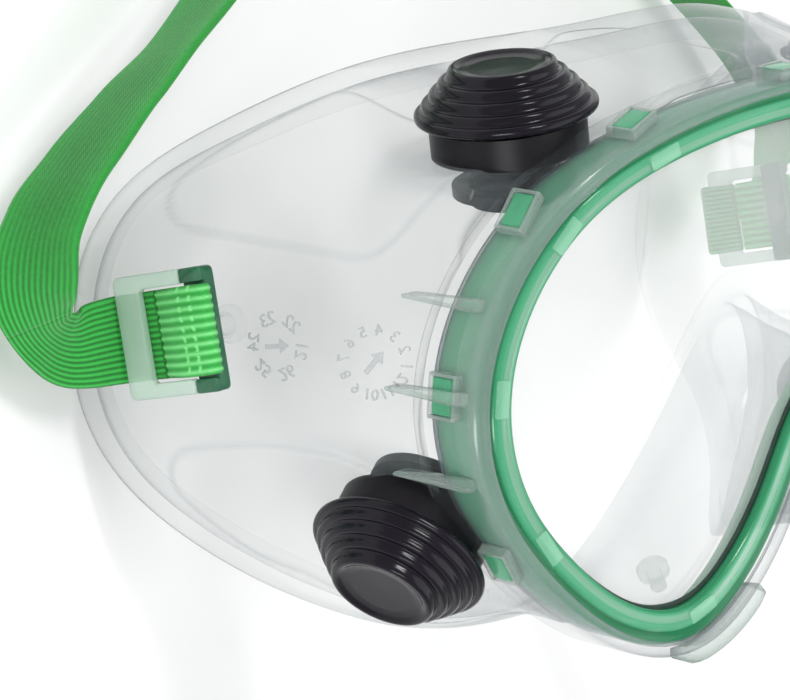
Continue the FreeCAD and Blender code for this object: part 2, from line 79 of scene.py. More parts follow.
STRAP_ROUTE = [  # middle of the cloth and the direction of its width, buckle to buckle
    ((-91.2, 1.2, 3.3), (0, 1, -0.1)), ((-95.0, 0.8, 2.0), (0, 1, 0.05)),
    ((-99.5, 2.2, 2.0), (0.2, 0.9, 0.25)), ((-105.5, 6.8, 3.9), (0.45, 0.55, 0.6)),
    ((-109, 14, 5.9), (0.4, 0.1, 0.9)), ((-108, 22.5, 6.9), (0.1, -0.05, 1)),
    ((-101, 30.8, 7.1), (-0.05, 0, 1)), ((-90.5, 39.5, 7.1), (-0.1, 0.1, 1)),
    ((-80, 47.2, 7.0), (-0.25, 0.2, 1)), ((-69, 56, 6.4), (-0.2, 0.15, 1)),
    ((-50, 70, 3.6), (0, 0.05, 1)), ((-29, 79.2, 1.8), (0, 0, 1)),
    ((-12, 82, 1.5), (0, 0, 1)), ((2, 82.2, 1.5), (0, 0, 1)),
    ((16, 82, 1.5), (0, 0, 1)), ((34, 77.3, 1.2), (0, 0, 1)),
    ((54, 64, 0.2), (0, 0, 1)), ((72, 52, 0.4), (0.02, 0, 1)),
    ((90, 40, 2.4), (0, 0, 1)), ((103.5, 28, 5.0), (-0.05, 0, 1)),
    ((109, 15, 5.9), (-0.4, 0.1, 0.9)), ((105.5, 6.8, 3.9), (-0.45, 0.55, 0.6)),
    ((99.5, 2.2, 2.0), (-0.2, 0.9, 0.25)), ((95.0, 0.8, 2.0), (0, 1, 0.05)),
    ((91.2, 1.2, 3.3), (0, 1, -0.1)),
]

# ------------------------------------------------------------------ small maths


class Spline:
    """Smooth cubic through points, open or closed; call it with shares 0..1 of its length."""

    def __init__(self, points, closed=False, knots=None):
        p = np.asarray(points, float)
        p = p.reshape(len(p), -1)
        if closed:
            p = np.vstack([p, p[:1]])
        h = np.linalg.norm(np.diff(p, axis=0), axis=1) if knots is None else np.diff(knots)
        n = len(h)
        m = np.zeros((n + 1, p.shape[1]))
        a = np.zeros((n + 1, n + 1))
        r = np.zeros_like(m)
        slope = np.diff(p, axis=0) / h[:, None]
        for i in range(1, n):
            a[i, i - 1], a[i, i], a[i, i + 1] = h[i - 1] / 6, (h[i - 1] + h[i]) / 3, h[i] / 6
            r[i] = slope[i] - slope[i - 1]
        if closed:
            a[0, n - 1], a[0, 0], a[0, 1] = h[-1] / 6, (h[-1] + h[0]) / 3, h[0] / 6
            r[0] = slope[0] - slope[-1]
            a[n, n], a[n, 0] = 1, -1
        else:
            a[0, 0] = a[n, n] = 1
        self.m = np.linalg.solve(a, r)
        self.p, self.h = p, h
        self.t = np.concatenate([[0], np.cumsum(h)])

    def __call__(self, u, slope=False):
        x = np.asarray(u, float) * self.t[-1]
        i = np.clip(np.searchsorted(self.t, x, side="right") - 1, 0, len(self.h) - 1)
        h = self.h[i][:, None]
        s = (x - self.t[i])[:, None]
        p0, p1, m0, m1 = self.p[i], self.p[i + 1], self.m[i], self.m[i + 1]
        b = (p1 - p0) / h - h * (2 * m0 + m1) / 6
        if slope:
            return b + m0 * s + (m1 - m0) * s * s / (2 * h)
        return p0 + b * s + m0 * s * s / 2 + (m1 - m0) * s ** 3 / (6 * h)


def whole(half):
    """Closed outline from its right half, brow to nose."""
    return Spline([*half, *((-at[0], *at[1:]) for at in reversed(half[1:-1]))], closed=True)


SIGHT, RIM, WAIST = whole(SIGHT_HALF), whole(RIM_HALF), whole(WAIST_HALF)


def unit(v):
    v = np.asarray(v, float)
    return v / np.linalg.norm(v, axis=-1, keepdims=True)


def smooth(edge0, edge1, x):
    t = np.clip((np.asarray(x, float) - edge0) / (edge1 - edge0), 0, 1)
    return t * t * (3 - 2 * t)


def offset_outline(curve, u, offset):
    """Points of an outline moved level and outwards by offset."""
    points = curve(u)
    tangent = unit(curve(u, slope=True)[:, :2])
    points[:, 0] += tangent[:, 1] * offset
    points[:, 1] -= tangent[:, 0] * offset
    return points


def lens_z(x, lift=0.0):
    return LENS_CROWN - LENS_RADIUS + np.sqrt((LENS_RADIUS + lift) ** 2 - np.asarray(x) ** 2)


def placed(origin, outward, along=(0, 0, 1)):
    """Matrix in mm whose Z is outward and X as near along as it can be."""
    z = unit(outward)
    x = np.asarray(along, float)
    x = unit(x - z * x.dot(z))
    y = np.cross(z, x)
    m = np.eye(4)
    m[:3, 0], m[:3, 1], m[:3, 2], m[:3, 3] = x, y, z, origin
    return m


def mirror_x(v):
    return (-v[0], v[1], v[2])


VENT_FRAMES = {}
for level, (seat, outward) in VENTS.items():
    VENT_FRAMES[level + "_right"] = placed(seat, outward)
    VENT_FRAMES[level + "_left"] = placed(mirror_x(seat), mirror_x(outward))
TILT = math.radians(BUCKLE_TILT)
BUCKLE_DOWN = (0, -math.sin(TILT), -math.cos(TILT))
BUCKLE_FRAMES = {"right": placed(BUCKLE_AT, (-1, 0, 0), BUCKLE_DOWN),
                 "left": placed(mirror_x(BUCKLE_AT), (1, 0, 0), BUCKLE_DOWN)}

# ------------------------------------------------------------------ mesh helpers


def moved(points, matrix):
    points = np.asarray(points, float)
    return points @ matrix[:3, :3].T + matrix[:3, 3]


def mesh(name, verts, faces, material, body, shade=True, facts=None):
    """A piece from points in mm, riding on a CAD body."""
    data = bpy.data.meshes.new(name)
    data.from_pydata((np.asarray(verts, float) * 0.001).tolist(), [], [list(map(int, f)) for f in faces])
    data.validate()
    for key, values in (facts or {}).items():
        layer = data.attributes.new(key, "FLOAT", "POINT")
        layer.data.foreach_set("value", np.asarray(values, np.float32).ravel())
    ob = bpy.data.objects.new(name, data)
    bpy.context.scene.collection.objects.link(ob)
    if shade:
        data.polygons.foreach_set("use_smooth", [True] * len(data.polygons))
    if material:
        data.materials.append(material)
    if body:
        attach(ob, body)
    return ob


def grid_faces(rows, cols, close_rows=False, close_cols=False, flip=False):
    """Quads over a rows x cols net of points."""
    r = np.arange(rows if close_rows else rows - 1)
    c = np.arange(cols if close_cols else cols - 1)
    rr, cc = np.meshgrid(r, c, indexing="ij")
    r2, c2 = (rr + 1) % rows, (cc + 1) % cols
    quads = np.stack([rr * cols + cc, rr * cols + c2, r2 * cols + c2, r2 * cols + cc], -1).reshape(-1, 4)
    return quads[:, ::-1] if flip else quads


def revolve(profile, steps=96):
    """Net of points round the Z axis for a profile of (radius, height) pairs."""
    turn = np.arange(steps) * 2 * math.pi / steps
    profile = np.asarray(profile, float)
    x = profile[:, :1] * np.cos(turn)
    y = profile[:, :1] * np.sin(turn)
    z = np.repeat(profile[:, 1:], steps, 1)
    return np.stack([x, y, z], -1).reshape(-1, 3), grid_faces(len(profile), steps, close_cols=True)


def rounded(points, radius=0.3, steps=4, closed=False):
    """Polyline with its corners turned into short arcs."""
    points = [np.asarray(p, float) for p in points]
    count = len(points)
    out = []
    for i, p in enumerate(points):
        if not closed and i in (0, count - 1):
            out.append(p)
            continue
        a, b = points[i - 1] - p, points[(i + 1) % count] - p
        la, lb = np.linalg.norm(a), np.linalg.norm(b)
        if la < 1e-6 or lb < 1e-6:
            out.append(p)
            continue
        cut = min(radius, 0.45 * la, 0.45 * lb)
        start, end = p + a / la * cut, p + b / lb * cut
        for k in range(steps + 1):
            t = k / steps
            out.append(start * (1 - t) ** 2 + p * 2 * t * (1 - t) + end * t * t)
    return np.array(out)


def loops_mesh(loops):
    """Stack of equal closed loops of points, first and last filled."""
    loops = np.asarray(loops, float)
    rows, cols = loops.shape[:2]
    faces = grid_faces(rows, cols, close_cols=True).tolist()
    faces.append(list(range(cols - 1, -1, -1)))
    faces.append(list(range((rows - 1) * cols, rows * cols)))
    return loops.reshape(-1, 3), faces


def box(x0, x1, y0, y1):
    return [(x0, y0), (x1, y0), (x1, y1), (x0, y1)]


def slab(corners, low, high, radius, edge=0.3):
    """Bevelled plate with a rounded plan, from low to high."""
    plan = rounded(corners, radius, 5, closed=True)
    centre = plan.mean(0)
    loops = []
    for inset, z in ((edge, low), (edge * 0.3, low + edge * 0.3), (0, low + edge),
                     (0, high - edge), (edge * 0.3, high - edge * 0.3), (edge, high)):
        ring = plan + unit(centre - plan) * inset if inset else plan
        loops.append(np.column_stack([ring, np.full(len(ring), z)]))
    return loops_mesh(loops)


def joined(parts):
    """One net from several (verts, faces) pairs."""
    verts, faces, start = [], [], 0
    for v, f in parts:
        verts.append(np.asarray(v, float))
        faces += [[int(i) + start for i in face] for face in f]
        start += len(v)
    return np.vstack(verts), faces


# ------------------------------------------------------------------ materials

def node_material(name, slot):
    mat = bpy.data.materials.new(name)
    mat.use_nodes = True
    tree = mat.node_tree
    mat["slot"] = slot
    return mat, tree, tree.nodes["Principled BSDF"]


def link(tree, a, b):
    tree.links.new(a, b)


def noise(tree, scale, detail=2.0, rough=0.5):
    coords = tree.nodes.new("ShaderNodeTexCoord")
    tex = tree.nodes.new("ShaderNodeTexNoise")
    tex.inputs["Scale"].default_value = scale
    tex.inputs["Detail"].default_value = detail
    tex.inputs["Roughness"].default_value = rough
    link(tree, coords.outputs["Object"], tex.inputs["Vector"])
    return tex.outputs["Fac"]


def ramp(tree, value, stops):
    node = tree.nodes.new("ShaderNodeValToRGB")
    elements = node.color_ramp.elements
    while len(elements) < len(stops):
        elements.new(0.5)
    for element, (at, colour) in zip(elements, stops):
        element.position = at
        element.color = (*colour, 1) if len(colour) == 3 else colour
    link(tree, value, node.inputs["Fac"])
    return node.outputs["Color"]


def plain_colour(tree, bsdf, value, stops):
    link(tree, ramp(tree, value, stops), bsdf.inputs["Base Color"])


def maths(tree, operation, a, b=0.0, clamp=False):
    node = tree.nodes.new("ShaderNodeMath")
    node.operation = operation
    node.use_clamp = clamp
    for socket, value in zip(node.inputs, (a, b)):
        if isinstance(value, (int, float)):
            socket.default_value = value
        else:
            link(tree, value, socket)
    return node.outputs[0]


def bump(tree, bsdf, height, distance, strength=1.0):
    node = tree.nodes.new("ShaderNodeBump")
    node.inputs["Distance"].default_value = distance
    node.inputs["Strength"].default_value = strength
    link(tree, height, node.inputs["Height"])
    link(tree, node.outputs["Normal"], bsdf.inputs["Normal"])
    return node


def attribute(tree, name):
    node = tree.nodes.new("ShaderNodeAttribute")
    node.attribute_name = name
    return node.outputs["Fac"]


def facing_value(tree):
    node = tree.nodes.new("ShaderNodeLayerWeight")
    node.inputs["Blend"].default_value = 0.5
    return node.outputs["Facing"]


def clear_material(name, slot, face_on, grazing, alpha_face, alpha_graze, power, rough, zone=None):
    """Thin clear plastic: nearly see-through face on, and milky or tinted at its edges."""
    mat, tree, bsdf = node_material(name, slot)
    facing = maths(tree, "POWER", facing_value(tree), power)
    colour = ramp(tree, facing, [(0.0, face_on), (1.0, grazing)])
    span = maths(tree, "MULTIPLY", facing, alpha_graze - alpha_face)
    alpha = maths(tree, "ADD", span, alpha_face, clamp=True)
    haze = noise(tree, 45.0, 3.0)
    haze = maths(tree, "ADD", maths(tree, "MULTIPLY", haze, 0.5), 0.75)
    alpha = maths(tree, "MULTIPLY", alpha, haze, clamp=True)
    if zone:
        share = attribute(tree, zone)
        kept = maths(tree, "ADD", maths(tree, "MINIMUM", share, 0.0), 1.0)
        milk = maths(tree, "MULTIPLY", maths(tree, "MAXIMUM", share, 0.0), 0.35)
        alpha = maths(tree, "ADD", maths(tree, "MULTIPLY", alpha, kept), milk, clamp=True)
    link(tree, colour, bsdf.inputs["Base Color"])
    link(tree, alpha, bsdf.inputs["Alpha"])
    bsdf.inputs["Roughness"].default_value = rough
    bsdf.inputs["IOR"].default_value = 1.5
    bump(tree, bsdf, noise(tree, 120.0, 2.0), 0.00004)
    return mat


PVC = clear_material(
    "clear_pvc", "clear_pvc", (0.30, 0.335, 0.345), (0.17, 0.21, 0.24), 0.13, 0.75, 2.4, 0.12, "milky")
DIAL = clear_material(
    "dial_relief", "clear_pvc", (0.34, 0.38, 0.39), (0.20, 0.24, 0.26), 0.22, 0.7, 1.5, 0.2)
PIN = clear_material(
    "clear_pin", "clear_pvc", (0.55, 0.60, 0.60), (0.30, 0.35, 0.36), 0.03, 0.30, 2.5, 0.1)
RIB = clear_material(
    "rib_pvc", "clear_pvc", (0.50, 0.60, 0.55), (0.20, 0.30, 0.26), 0.22, 0.85, 1.5, 0.08)
LENS = clear_material(
    "lens_clear", "lens_clear", (0.96, 0.985, 0.985), (0.70, 0.76, 0.76), 0.17, 0.5, 3.0, 0.05)
SEAL, tree, bsdf = node_material("seal_rubber", "seal_black")
plain_colour(tree, bsdf, noise(tree, 300.0), [(0.3, (0.010, 0.030, 0.022)), (0.7, (0.022, 0.050, 0.038))])
bsdf.inputs["Roughness"].default_value = 0.6

RING, tree, bsdf = node_material("ring_green", "ring_green")
# tone paints light and shade into the one green of the ring, and the ring's see-through alpha follows it.
tone = attribute(tree, "tone")
plain_colour(tree, bsdf, tone, [(0.0, (0.012, 0.20, 0.075)), (0.33, (0.035, 0.36, 0.16)),
                                (0.66, (0.12, 0.55, 0.30)), (1.0, (0.40, 0.78, 0.56))])
facing = maths(tree, "POWER", facing_value(tree), 1.6)
body_alpha = maths(tree, "SUBTRACT", 0.78, maths(tree, "MULTIPLY", tone, 0.42))
body_alpha = maths(tree, "ADD", body_alpha, maths(tree, "MULTIPLY", facing, 0.35), clamp=True)
link(tree, body_alpha, bsdf.inputs["Alpha"])
bsdf.inputs["Roughness"].default_value = 0.14
bump(tree, bsdf, noise(tree, 160.0), 0.00003)

CAP, tree, bsdf = node_material("cap_gloss", "vent_black")
plain_colour(tree, bsdf, noise(tree, 90.0, 3.0),
             [(0.3, (0.004, 0.003, 0.006)), (0.75, (0.010, 0.008, 0.014))])
bsdf.inputs["Roughness"].default_value = 0.17
bsdf.inputs["Specular IOR Level"].default_value = 0.2
bump(tree, bsdf, noise(tree, 220.0, 3.0), 0.00004)
INNER_BLACK, tree, bsdf = node_material("inner_black", "vent_black")
plain_colour(tree, bsdf, noise(tree, 200.0, 3.0),
             [(0.3, (0.004, 0.003, 0.005)), (0.75, (0.012, 0.010, 0.014))])
bsdf.inputs["Roughness"].default_value = 0.38
bsdf.inputs["Specular IOR Level"].default_value = 0.2

BUCKLE = clear_material(
    "buckle_pale", "buckle_pale", (0.56, 0.74, 0.62), (0.24, 0.38, 0.33), 0.46, 0.88, 2.0, 0.16)
BAR, tree, bsdf = node_material("bar_green", "bar_green")
plain_colour(tree, bsdf, noise(tree, 260.0, 3.0),
             [(0.25, (0.010, 0.090, 0.040)), (0.8, (0.030, 0.160, 0.080))])
bsdf.inputs["Roughness"].default_value = 0.22
bump(tree, bsdf, noise(tree, 300.0), 0.00004)


def strap_material(name, dark, mid, light, seams):
    """Woven elastic: ribs along the strap with painted light on their crests and painted shade in their
    grooves, fine cross picks, and a row of stitches at each seam.
    """
    mat, tree, bsdf = node_material(name, "strap_green")
    across, along = attribute(tree, "across"), attribute(tree, "along")
    picks = maths(tree, "SINE", maths(tree, "MULTIPLY", along, 2 * math.pi / 0.55))
    yarns = maths(tree, "SINE", maths(tree, "MULTIPLY", across, 2 * math.pi / 0.42))
    rib_shade = attribute(tree, "rib_shade")
    fuzz = noise(tree, 1400.0, 3.0, 0.6)
    blotch = noise(tree, 60.0, 2.0)
    weave = maths(tree, "MULTIPLY", picks, yarns)
    height = maths(tree, "ADD", maths(tree, "MULTIPLY", weave, 0.5), maths(tree, "MULTIPLY", fuzz, 0.8))
    # The rib value carries painted light on the rib crests, and painted shade in the grooves and down the
    # middle of the strap.
    value = maths(tree, "ADD", maths(tree, "MULTIPLY", rib_shade, 0.62), maths(tree, "MULTIPLY", fuzz, 0.22))
    value = maths(tree, "ADD", value, maths(tree, "MULTIPLY", weave, 0.07))
    value = maths(tree, "ADD", value, maths(tree, "MULTIPLY", blotch, 0.14), clamp=True)
    for seam in seams:
        away = maths(tree, "ABSOLUTE", maths(tree, "SUBTRACT", along, seam))
        line = maths(tree, "LESS_THAN", away, 0.3)
        wave = maths(tree, "SINE", maths(tree, "MULTIPLY", across, 2 * math.pi / 1.5))
        stitch = maths(tree, "MULTIPLY", line, maths(tree, "GREATER_THAN", wave, -0.2))
        value = maths(tree, "ADD", value, maths(tree, "MULTIPLY", stitch, 0.5), clamp=True)
    plain_colour(tree, bsdf, value, [(0.12, dark), (0.5, mid), (0.92, light)])
    bsdf.inputs["Roughness"].default_value = 0.72
    bsdf.inputs["Sheen Weight"].default_value = 0.35
    bsdf.inputs["Sheen Roughness"].default_value = 0.5
    bsdf.inputs["Sheen Tint"].default_value = (0.55, 1.0, 0.6, 1.0)
    bump(tree, bsdf, height, 0.00012, 0.7)
    return mat


STRAP = strap_material(
    "strap_green", (0.004, 0.12, 0.010), (0.013, 0.34, 0.035), (0.05, 0.56, 0.085), ())
# The ends over the buckles are the same elastic as the strap, painted in lighter greens as light on their
# tops.
STRAP_END_LIT = strap_material(
    "strap_end_lit_green", (0.010, 0.27, 0.030), (0.045, 0.50, 0.075), (0.24, 0.80, 0.28), (3.2, 5.4))

# ------------------------------------------------------------------ clear face frame

COLUMNS = 640
U = np.arange(COLUMNS) / COLUMNS
WALL_ROWS = [  # share of the wall's height, then the shares of the rim, waist and neck outlines
    (0.0, 1.0, 0.0, 0.0), (0.14, 0.86, 0.14, 0.0), (0.38, 0.40, 0.60, 0.0),
    (0.64, 0.0, 1.0, 0.0), (0.85, 0.0, 0.72, 0.28), (1.0, 0.0, 0.0, 1.0)]


def wall_net(inset, lift, shares):
    """Points of one skin of the wall at the given shares of its height: rows x columns x 3."""
    plans = [offset_outline(RIM, U, -inset), offset_outline(WAIST, U, -inset),
             offset_outline(SIGHT, U, NECK_OFFSET - inset)]
    base, rows = plans[0][:, 2] + lift, []
    for rise, *weights in WALL_ROWS:
        plan = sum(p[:, :2] * w for p, w in zip(plans, weights))
        z = base * (1 - rise) + lens_z(plan[:, 0], NECK_LIFT) * rise
        rows.append(np.column_stack([plan, z]))
    knots = [row[0] for row in WALL_ROWS]
    return Spline(np.array(rows), knots=knots)(shares).reshape(len(shares), COLUMNS, 3)


def at_lens(offset, lift):
    plan = offset_outline(SIGHT, U, offset)
    return np.column_stack([plan, lens_z(plan[:, 0], lift)])


def at_rim(offset, lift):
    points = offset_outline(RIM, U, offset)
    points[:, 2] += lift - FLANGE_RISE * offset / FLANGE_WIDE
    return points


def flatten_vents(net, depth):
    """Pull the wall flat under each vent cap."""
    for matrix in VENT_FRAMES.values():
        z, seat = matrix[:3, 2], matrix[:3, 3]
        away = net - seat
        height = away @ z
        radius = np.linalg.norm(away - height[..., None] * z, axis=-1)
        share = (1 - smooth(*VENT_FLAT, radius)) * (1 - smooth(*VENT_DEEP, np.abs(height)))
        net = net - z * ((height + depth) * share)[..., None]
    return net


def share_at(curve, axis, value, low, high):
    """Share of the outline between low and high where a coordinate takes a value."""
    u = np.linspace(low, high, 400)
    return u[np.argmin(np.abs(curve(u)[:, axis] - value))]


PANELS = [(share_at(WAIST, 0, -17, 0.0, 0.12), share_at(WAIST, 1, 18.5, 0.1, 0.25), 0.16, 0.92),
          (share_at(WAIST, 1, -11.5, 0.2, 0.35), share_at(WAIST, 0, -44, 0.3, 0.42), 0.19, 0.90)]


def panel_share(shares):
    """How far each wall point stands inside a moulded panel, 0..1."""
    length, height = WAIST.t[-1], WALL_HEIGHT
    s = np.where(U < 0.5, U, 1 - U)[None, :] * length
    v = np.asarray(shares)[:, None] * height
    inside = np.zeros((len(shares), COLUMNS))
    for u0, u1, t0, t1 in PANELS:
        cx, cy = (u0 + u1) / 2 * length, (t0 + t1) / 2 * height
        hx, hy, r = (u1 - u0) / 2 * length, (t1 - t0) / 2 * height, 8.0
        dx, dy = np.abs(s - cx) - (hx - r), np.abs(v - cy) - (hy - r)
        distance = np.hypot(np.maximum(dx, 0), np.maximum(dy, 0)) + np.minimum(np.maximum(dx, dy), 0) - r
        inside = np.maximum(inside, 1 - smooth(-0.9, 0.9, distance))
    return inside


def net_normals(net):
    across = np.roll(net, -1, 1) - np.roll(net, 1, 1)
    up = np.gradient(net, axis=0)
    return unit(np.cross(up, across))


def build_frame():
    shares = np.concatenate([np.linspace(0.03, 0.9, 62), np.linspace(0.915, 0.985, 5)])
    outer = flatten_vents(wall_net(0.0, 0.0, shares), 0.05)
    normals = net_normals(outer)
    outward = outer - np.array([0, 5.0, 40.0])
    if (normals * outward).sum() < 0:
        normals = -normals
    outer = outer + normals * (0.6 * panel_share(shares))[..., None]
    inner_shares = np.linspace(0.97, 0.05, 36)
    inner = flatten_vents(wall_net(WALL_THICK, FLANGE_THICK, inner_shares), WALL_THICK + 0.1)
    under = [(-5.7, 0.15), (-4.0, 0.02), (-2.0, 0.02), (-0.7, 0.05), (-0.2, 0.3)]
    profile = [at_rim(*corner) for corner in under]
    milky = [-0.85, -0.85, -0.8, -0.5, -0.2]
    profile += list(outer)
    panels = panel_share(shares)
    arch = (1 - smooth(26, 40, np.abs(outer[..., 0]))) * (1 - smooth(-6, 4, outer[..., 1]))
    milky += list(2.0 * panels * (1 - panels) + 0.6 * arch)
    collar = [  # offset outwards, lift, milkiness
        (5.7, -6.0, -0.6), (6.7, -6.0, -0.6), (7.15, -5.8, -0.6), (7.25, -5.4, -0.7), (7.25, -4, -0.7),
        (7.25, -1, -0.6), (7.25, 2.0, -0.1), (7.2, 2.95, 0.5), (7.0, 3.35, 0.6), (6.6, 3.6, 0.45),
        (6.2, 3.65, 0.3), (5.6, 3.65, 0.3), (5.15, 3.62, 0.4), (4.85, 3.5, 0.6), (4.65, 3.2, 0.6),
        (4.65, 2.8, 0.3), (4.8, 2.5, 0.1), (5.1, 2.45, 0.0), (5.6, 2.45, 0.0), (5.65, 2.0, 0.0),
        (5.65, -2, 0.0), (5.65, -4.6, 0.0), (5.0, -4.65, 0.05), (2.9, -4.65, 0.2), (2.6, -4.8, 0.0),
        (2.6, -5.6, 0.0), (2.8, -5.9, -0.3)]
    for offset, lift, tone in collar:
        profile.append(at_lens(offset, lift))
        milky.append(tone)
    profile += list(inner)
    milky += [-0.3] * len(inner)
    over = [(-2.6, 1.9), (-4.2, 1.75), (-5.5, 1.6), (-6.0, 1.2), (-6.0, 0.6)]
    profile += [at_rim(*corner) for corner in over]
    milky += [-0.5, -0.8, -0.85, -0.85, -0.85]
    net = np.array(profile)
    net[..., 2] = np.maximum(net[..., 2], REST_LEVEL)
    faces = grid_faces(len(net), COLUMNS, close_rows=True, close_cols=True, flip=True)
    facts = {"milky": np.array([np.broadcast_to(row, COLUMNS) for row in milky])}
    frame_mesh = mesh("clear_face_frame", net.reshape(-1, 3), faces, PVC, "frame", facts=facts)
    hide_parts("face_frame")
    return outer


WALL = build_frame()


def gusset_ribs():
    """Thin fins that brace the collar at each temple."""
    parts = []
    for height in (14.0, 0.5, -13.0):
        u = share_at(SIGHT, 1, height, 0.12, 0.36)
        edge = offset_outline(SIGHT, np.array([u]), COLLAR_OFFSET)[0, 0]
        outline = [(-2.6, 48.6), (-2.2, 51.5), (-1.5, 56.5), (-0.9, 60.4), (-0.4, 61.4),
                   (1.0, 61.6), (1.0, 48.6)]
        plan = rounded(outline, 0.4, 3, closed=True)
        for side in (1, -1):
            loops = []
            for y, inset in ((-0.75, 0.3), (-0.6, 0.05), (-0.35, 0.0), (0.35, 0.0), (0.6, 0.05), (0.75, 0.3)):
                ring = plan + unit(plan.mean(0) - plan) * inset
                draft = 0.35 + 1.0 * smooth(47, 62, ring[:, 1])
                loops.append(np.column_stack(
                    [(ring[:, 0] + edge) * side, height + y * side * draft, ring[:, 1]]))
            parts.append(loops_mesh(loops))
    verts, faces = joined(parts)
    ribs = mesh("collar_gussets", verts, faces, RIB, "frame")


gusset_ribs()


def patch_terms(b, c):
    return np.stack([np.ones_like(b), b, c, b * b, b * c, c * c], -1)


def on_wall(y, z, height, side):
    """Points at a height over the temple wall, from a smooth patch fitted to the wall."""
    wall = WALL.reshape(-1, 3)
    near = wall[(wall[:, 0] < -60) & (np.abs(wall[:, 1] - 4) < 12) & (np.abs(wall[:, 2] - 39) < 18)]
    fit = np.linalg.lstsq(patch_terms(near[:, 1], near[:, 2]), near[:, 0], rcond=None)[0]
    x = patch_terms(y, z) @ fit - height
    return np.stack([x * side, y, z], -1)


def letter(text, size):
    """Flat outline mesh of a character, 0 to 1 high in its third coordinate."""
    curve = bpy.data.curves.new("letter", "FONT")
    curve.body, curve.size, curve.align_x, curve.align_y = text, size, "CENTER", "CENTER"
    curve.extrude, curve.resolution_u = 0.5, 3
    ob = bpy.data.objects.new("letter", curve)
    bpy.context.scene.collection.objects.link(ob)
    data = bpy.data.meshes.new_from_object(ob.evaluated_get(bpy.context.evaluated_depsgraph_get()))
    verts = np.array([v.co[:] for v in data.vertices])
    faces = [tuple(p.vertices) for p in data.polygons]
    bpy.data.objects.remove(ob)
    return verts + np.array([0, 0, 0.5]), faces


def turned(points, angle, y, z):
    """Two rows, y and z, of flat points turned by an angle round a dial's centre."""
    c, d = math.cos(angle), math.sin(angle)
    return y + points[:, 0] * c + points[:, 1] * d, z - points[:, 0] * d + points[:, 1] * c


def date_dials():
    """Two moulded date dials on each temple: numbers round an arrow."""
    dials = (  # centre y and z, radius, labels, turn of the arrow, size of the labels
        (4.0, 30.0, 4.2, ("21", "22", "23", "24", "25", "26"), 0.2, 2.9),
        (3.8, 46.0, 4.7, tuple(str(n) for n in range(1, 13)), 1.0, 2.4))
    arrow = np.array(
        [(-0.35, -2.0), (0.35, -2.0), (0.35, 0.6), (1.1, 0.6), (0, 2.1), (-1.1, 0.6), (-0.35, 0.6)])
    for side, name in ((-1, "left"), (1, "right")):
        parts = []
        for y, z, radius, labels, turn, size in dials:
            for i, text in enumerate(labels):
                v, f = letter(text, size)
                v[:, 1] += radius
                spot = turned(v, 2 * math.pi * i / len(labels), y, z)
                parts.append((on_wall(*spot, v[:, 2] * RELIEF, side), f))
            plan = np.column_stack(turned(arrow, turn, y, z))
            v, f = loops_mesh([np.column_stack([plan, np.full(len(plan), h)]) for h in (0.0, RELIEF)])
            parts.append((on_wall(v[:, 0], v[:, 1], v[:, 2], side), f))
        verts, faces = joined(parts)
        dial = mesh("date_dials_" + name, verts, faces, DIAL, "frame", shade=False)


date_dials()


def nose_tabs():
    """Clear clip on the collar at each side of the nose."""
    u = np.linspace(0.362, 0.394, 14)
    profile = [(6.0, 3.2), (6.0, 4.1), (6.3, 4.4), (8.5, 4.4), (8.9, 4.0), (8.9, 0.4), (8.6, 0.0), (7.0, 0.0)]
    for side in (1, -1):
        loops = []
        for at, inset in zip(u, np.concatenate([[0.3, 0.1], np.zeros(10), [0.1, 0.3]])):
            ring = []
            for offset, lift in profile:
                p = offset_outline(SIGHT, np.array([at]), offset - inset * (offset > 8))[0]
                ring.append((p[0] * side, p[1], lens_z(p[0], lift - inset * (lift > 4))))
            loops.append(ring)
        verts, faces = loops_mesh(loops)
        tab = mesh("nose_tab_" + ("right" if side > 0 else "left"), verts, faces, RIB, "frame")


nose_tabs()

# ------------------------------------------------------------------ green cassette

RING_PROFILE = [  # offset outwards, lift, tone from dark 0 to pale 1: painted light and shade, pale on the flat top and dark at the step down, on the shelf beyond it and in the bottom corners
    (0.0, 0.65, 0.1), (0.0, 1.4, 0.12), (0.1, 1.75, 0.15), (0.35, 1.95, 0.25), (0.6, 2.02, 0.35),
    (0.85, 2.05, 0.75), (1.1, 2.08, 0.95), (1.9, 2.12, 0.9), (2.05, 2.28, 0.6), (2.2, 2.32, 0.5),
    (3.1, 2.32, 0.42), (3.3, 2.2, 0.2), (3.4, 1.95, 0.0), (3.5, 1.85, 0.0), (4.6, 1.82, 0.08),
    (5.3, 1.8, 0.3), (5.45, 1.6, 0.35), (5.5, 1.2, 0.35), (5.5, -1.0, 0.4), (5.5, -3.9, 0.45),
    (5.35, -4.4, 0.2), (5.0, -4.5, 0.1), (3.7, -4.5, 0.1), (3.4, -4.3, 0.15), (3.3, -3.9, 0.3),
    (3.3, -1.5, 0.35), (3.3, 0.3, 0.3), (3.1, 0.5, 0.2), (1.5, 0.5, 0.3), (0.1, 0.52, 0.1)]


